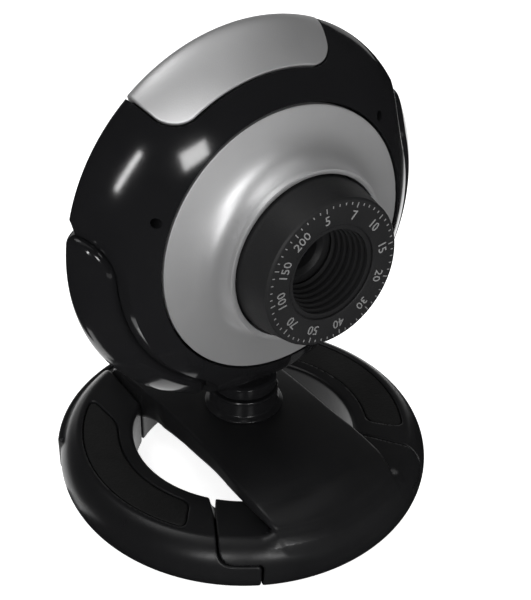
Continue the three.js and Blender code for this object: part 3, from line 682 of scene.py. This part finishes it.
def shell_rear():
    """The rear shell, with three screw holes, and an opening for the gland straight under the lens axis."""
    seg = 256
    outer = REAR[CUT:].copy()
    outer[0] = (outer[0, 0] * 0.997, PART_S - SEAM)
    outer[-1, 0] = 0
    inner = outer[::-6] * [HOLLOW, HOLLOW * 0.97]
    inner[-1, 1] = PART_S - SEAM
    inner[0, 0] = 0
    verts, faces = weld(*lathe(np.concatenate([outer, inner]), seg))
    obj = finish_mesh("head_rear_shell", head_points(verts), faces, GLOSS, "head",
                      ["rear_shell"])
    screws = [head_rod(2.3, -20, -6.4, 22.4, angle) for angle in (90, 215, 325)]
    verts, faces = rod_mesh(3.0, -20, -6)
    gland = verts[:, [0, 2, 1]] * [1, -1, 1] + np.array([0, 0, HEAD_Z - 9])
    boolean(obj, [*screws, (gland, faces), stem_way()])


def ease(t):
    """Spreads points from -1 to 1 so that they are closer together near both ends."""
    return np.sign(t) * (1 - (1 - np.abs(t)) ** 1.8)


def patch(panel, rise, edge, thick):
    """A closed plate over a panel's outline, following the outer surface, with a rolled edge."""
    half = math.radians(panel["half"]) * ARC_R
    deep = REAR_END - panel["front"]
    c = panel["corner"]
    nu, nv = ((240, 110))
    u = ease(np.linspace(-1, 1, nu))
    w = (ease(np.linspace(-1, 1, nv)) + 1) / 2
    x, y = np.meshgrid(u * half, w * deep, indexing="ij")
    # the square grid's two front corners are pulled in to the outline's round ones
    qa = np.clip((np.abs(x) - (half - c)) / c, 0, 1)
    qb = np.clip((c - y) / c, 0, 1)
    corner = (qa > 0) & (qb > 0)
    x = np.where(corner, np.sign(x) * (half - c + qa * np.sqrt(1 - qb * qb / 2) * c), x)
    y = np.where(corner, c - qb * np.sqrt(1 - qa * qa / 2) * c, y)
    v = panel["front"] + y
    d = -rect_distance(panel["mid"] + np.degrees(x / ARC_R), v, panel)
    d = np.minimum(d, deep - y)
    roll = np.sqrt(np.clip(1 - (1 - np.clip(d / edge, 0, 1)) ** 2, 0, 1))
    height = rise - edge * 0.9 * (1 - roll)
    r0, s0 = (np.interp(v, LENGTH, OUTER[:, k]) for k in range(2))
    nr, ns = (np.interp(v, LENGTH, NORMAL[:, k]) for k in range(2))
    theta = math.radians(panel["mid"]) + x / ARC_R

    def raised(h):
        r, s = r0 + nr * h, s0 + ns * h
        return np.stack([r * np.cos(theta), r * np.sin(theta), s], 2).reshape(-1, 3)

    m = nu * nv
    i, j = np.meshgrid(np.arange(nu - 1), np.arange(nv - 1), indexing="ij")
    k = (i * nv + j).reshape(-1)
    quad = np.stack([k, k + nv, k + nv + 1, k + 1], 1)
    grid = np.arange(m).reshape(nu, nv)
    ring = [*grid[:, 0], *grid[-1, 1:], *grid[-2::-1, -1], *grid[0, -2:0:-1]]
    walls = [(ring[q], ring[q - 1], ring[q - 1] + m, ring[q] + m) for q in range(len(ring))]
    faces = quad.tolist() + (quad[:, ::-1] + m).tolist() + walls
    return np.concatenate([raised(height), raised(np.full_like(height, -thick))]), faces


def add_patch(name, panel, rise, edge, thick, mat, nodes):
    verts, faces = patch(panel, rise, edge, thick)
    verts = head_points(verts)
    a, b, c, d = (verts[np.array(faces)[:, k]] for k in range(4))
    volume = (np.cross(a, b) * c).sum() + (np.cross(a, c) * d).sum()
    if volume < 0:
        faces = [face[::-1] for face in faces]
    finish_mesh(name, verts, faces, mat, "head", nodes, sharp=55)


shell_front()
shell_rear()
add_patch("silver_top_inlay", TOP, 0.12, 0.35, 1.1, SILVER, ["top_inlay"])
add_patch("left_cover", LEFT, 0.05, 1.5, 1.7, GLOSS, ["left_side_cover"])
add_patch("right_cover", RIGHT, 0.05, 1.5, 1.7, GLOSS, ["right_side_cover"])


def turned_head(name, profile, seg, mat, body, nodes, sharp=32):
    """A closed [radius, s] outline turned about the lens axis."""
    verts, faces = weld(*lathe(profile, seg))
    finish_mesh(name, head_points(verts), faces, mat, body, nodes, sharp)


def flared_plate():
    """The silver plate, which rises like a trumpet to the focus ring."""
    edge = rounded([(20, 10.0), (21.9, 9.7), (21.92, 10.95)], [0, 0.1, 0], 3)[1:]
    flare = bezier([(21.5, 11.05), (17.0, 11.9), (14.65, 12.3), (14.35, 16.3)], 40)
    brim = [(14.15, 16.75), (13.8, 16.85), (13.4, 16.7), (13.35, 13.5)]
    underside = [(14.7, 13.5), (15.9, 12.1), (17.8, 11.0), (20, 10.1)]
    profile = [*edge, (21.8, 11.0), *flare, *brim, *underside]
    turned_head("flared_plate", profile, 256, SILVER, "head", ["face_plate"], sharp=40)


def focus_ring():
    """The focus ring, whose bore narrows inward in steps, with a rib at each step."""
    outside = rounded([(14.6, 12.45), (14.6, 13.15), (13.02, 13.2), (13.02, 17.0), (12.05, 22.2),
                       (11.75, 22.5), (7.5, 22.35)], [0.1, 0.1, 0, 0, 0.15, 0.3, 0.3], 4)
    bore = []
    for i in range(6):
        r, s = 6.95 - i * 0.26, 21.9 - i * 1.08
        bore += [(r, s), (r - 0.02, s - 0.45), (r + 0.28, s - 0.7), (r + 0.25, s - 1.0)]
    profile = [*outside, *bore, (5.3, 15.3), (6.25, 15.2), (6.25, 12.45)]
    turned_head("focus_ring_body", profile, 192, SATIN, "focus", ["focus_ring"], sharp=38)


def lens():
    """The barrel, and the domed front element in it."""
    barrel = rounded([(2.4, 4.2), (2.9, 4.2), (2.9, 1.2), (5.6, 1.2), (5.9, 1.6), (5.9, 14.3), (5.6, 14.6),
                      (4.3, 14.6), (3.65, 13.8), (3.6, 12.0), (2.4, 12.0)], 0.12, 2)
    turned_head("barrel_body", barrel, 96, SATIN, "lens", ["lens_barrel"])
    middle, radius = 10.1, 4.2
    angles = np.radians(np.linspace(38, 90, 14))
    dome = [(radius * math.cos(a), middle + radius * math.sin(a)) for a in angles]
    dome[-1] = (0, middle + radius)
    turned_head("front_element", [(0, 12.3), (3.3, 12.3), *dome], 96, GLASS, "lens", ["front_lens"])


flared_plate()
focus_ring()
lens()


def tick(k):
    """A raised mark on the focus ring's face, one of 60. Every fifth one is longer."""
    inner = 10.6 if k % 5 == 0 else 11.0
    outer, half = 11.4, 0.075
    c, s = math.cos(math.radians(k * 6)), math.sin(math.radians(k * 6))
    corners = [(inner, half), (inner, -half), (outer, -half), (outer, half)]
    verts = [(r * c - t * s, r * s + t * c, height) for height in (22.56, 22.3) for r, t in corners]
    faces = [(0, 1, 2, 3), (7, 6, 5, 4), (0, 4, 5, 1), (1, 5, 6, 2), (2, 6, 7, 3), (3, 7, 4, 0)]
    return verts, faces


def digits(label, angle):
    """A raised number on the focus ring's face, with its foot to the middle. Angle 0 is at the top."""
    curve = bpy.data.curves.new("digits", "FONT")
    curve.body = label
    curve.size = 2.1
    curve.align_x, curve.align_y = "CENTER", "CENTER"
    curve.extrude = 0.06
    curve.resolution_u = 2
    temp = bpy.data.objects.new("digits", curve)
    bpy.context.scene.collection.objects.link(temp)
    bpy.context.view_layer.update()
    mesh = temp.to_mesh()
    out = Vector((0, 9.3, 22.47))
    turn = Matrix.Rotation(math.radians(angle), 3, "Z")
    verts = [tuple(turn @ (v.co + out)) for v in mesh.vertices]
    faces = [tuple(polygon.vertices) for polygon in mesh.polygons]
    temp.to_mesh_clear()
    bpy.data.objects.remove(temp)
    bpy.data.curves.remove(curve)
    return verts, faces


def dial_marks():
    """Ticks and plain numbers round the focus ring's face, as one raised print."""
    labels = ["5", "7", "10", "15", "20", "30", "40", "50", "70", "100", "150", "200"]
    marks = [tick(k) for k in range(60)] + [digits(label, -k * 30) for k, label in enumerate(labels)]
    verts, faces = [], []
    for more_verts, more_faces in marks:
        faces += [tuple(i + len(verts) for i in face) for face in more_faces]
        verts += more_verts
    finish_mesh("focus_dial_marks", head_points(verts), faces, PRINT, "focus", sharp=30)


dial_marks()

# ---------------------------------------------------------------- carried-over nodes

slot_of = {part["node"]: part["material_slot"] for part in frame["record"]["subparts"]}
for name, obj in frame["nodes"].items():
    if obj.hide_render:
        continue
    obj.data.materials.clear()
    obj.data.materials.append(BY_SLOT[slot_of[name]])
    obj.data.shade_smooth()
    obj.data.set_sharp_from_angle(angle=math.radians(32))

# ---------------------------------------------------------------- floor and light


def floor_paper():
    mat = bpy.data.materials.new("floor_paper")
    mat.use_nodes = True
    tree = mat.node_tree
    shader = tree.nodes["Principled BSDF"]
    noise = node(tree, "ShaderNodeTexNoise", Scale=40.0, Detail=4.0)
    pale = ramp(tree, noise.outputs["Fac"], [(0.3, (0.86, 0.86, 0.86)), (0.7, (0.88, 0.88, 0.88))])
    tree.links.new(pale, shader.inputs["Base Color"])
    shader.inputs["Roughness"].default_value = 0.9
    shader.inputs["Specular IOR Level"].default_value = 0.1
    shader.inputs["Emission Color"].default_value = (1, 1, 1, 1)
    shader.inputs["Emission Strength"].default_value = 0.8
    return mat


def floor():
    """A pale floor that glows a little, like a light table. Only the two sheets that lie on it, under and
    behind the object, show in its gloss."""
    mat = floor_paper()
    lift = 0.00002
    wide = [(-6, -6), (6, -6), (6, 6), (-6, 6)]
    sheet = [(-0.02, -0.010), (0.0, -0.010), (0.005, -0.022), (0.02, -0.022), (0.02, 0.012), (0.14, 0.03),
             (0.22, 0.05), (0.22, 0.26), (-0.046, 0.12), (-0.046, 0.014), (-0.02, 0.012)]
    patch_left = [(-0.056, 0.0075), (-0.036, 0.0062), (-0.036, 0.0138), (-0.056, 0.0165)]
    for name, outline, height in (("floor", wide, 0), ("floor_sheet", sheet, lift),
                                  ("floor_sheet_2", patch_left, lift)):
        mesh = bpy.data.meshes.new(name)
        mesh.from_pydata([(x, y, height) for x, y in outline], [], [tuple(range(len(outline)))])
        mesh.materials.append(mat)
        obj = bpy.data.objects.new(name, mesh)
        bpy.context.scene.collection.objects.link(obj)
        obj.visible_glossy = name != "floor"


AIM = Vector((0, 0, 0.04))


def area_light(name, width, height, power):
    data = bpy.data.lights.new(name, "AREA")
    data.shape = "RECTANGLE"
    data.size = width
    data.size_y = height
    data.energy = power
    obj = bpy.data.objects.new(name, data)
    bpy.context.scene.collection.objects.link(obj)
    obj.visible_camera = False
    return obj


def softbox(name, azimuth, elevation, distance, width, height, power, turn=0):
    """A rectangular light that faces the object. Azimuth 0 is in front, along -Y, and 90 is at +X."""
    a, e = math.radians(azimuth), math.radians(elevation)
    out = Vector((math.sin(a) * math.cos(e), -math.cos(a) * math.cos(e), math.sin(e)))
    obj = area_light(name, width, height, power)
    obj.location = AIM + out * distance
    face = out.to_track_quat("Z", "Y").to_matrix() @ Matrix.Rotation(math.radians(turn), 3, "Z")
    obj.rotation_euler = face.to_euler()


def studio():
    """Softboxes and a card in front, which the gloss reflects, and pale surroundings, which it doesn't."""
    softbox("front_box", -14.6, 23.4, 1.0, 0.22, 0.15, 2.8, 19)
    softbox("left_strip", -49.4, 20, 1.0, 0.055, 0.34, 2.3, -31.7)
    softbox("overhead", -30, 88, 1.2, 1.2, 1.2, 2.2)
    softbox("left_back_box", -120, 66, 1.0, 0.4, 0.4, 1.4)
    softbox("back_drop", 150, 10, 1.5, 2.4, 0.6, 2.6)
    card = area_light("front_card", 0.36, 0.3, 0.36)
    card.location = (0.10, -0.34, 0.001)
    card.rotation_euler = (math.pi, 0, 0)
    card.visible_diffuse = False
    world = bpy.data.worlds.new("studio")
    bpy.context.scene.world = world
    world.use_nodes = True
    background = world.node_tree.nodes["Background"]
    background.inputs["Color"].default_value = (1, 1, 1, 1)
    background.inputs["Strength"].default_value = 0.6
    world.cycles_visibility.glossy = False
    bpy.context.scene.view_settings.view_transform = "Standard"


floor()
studio()
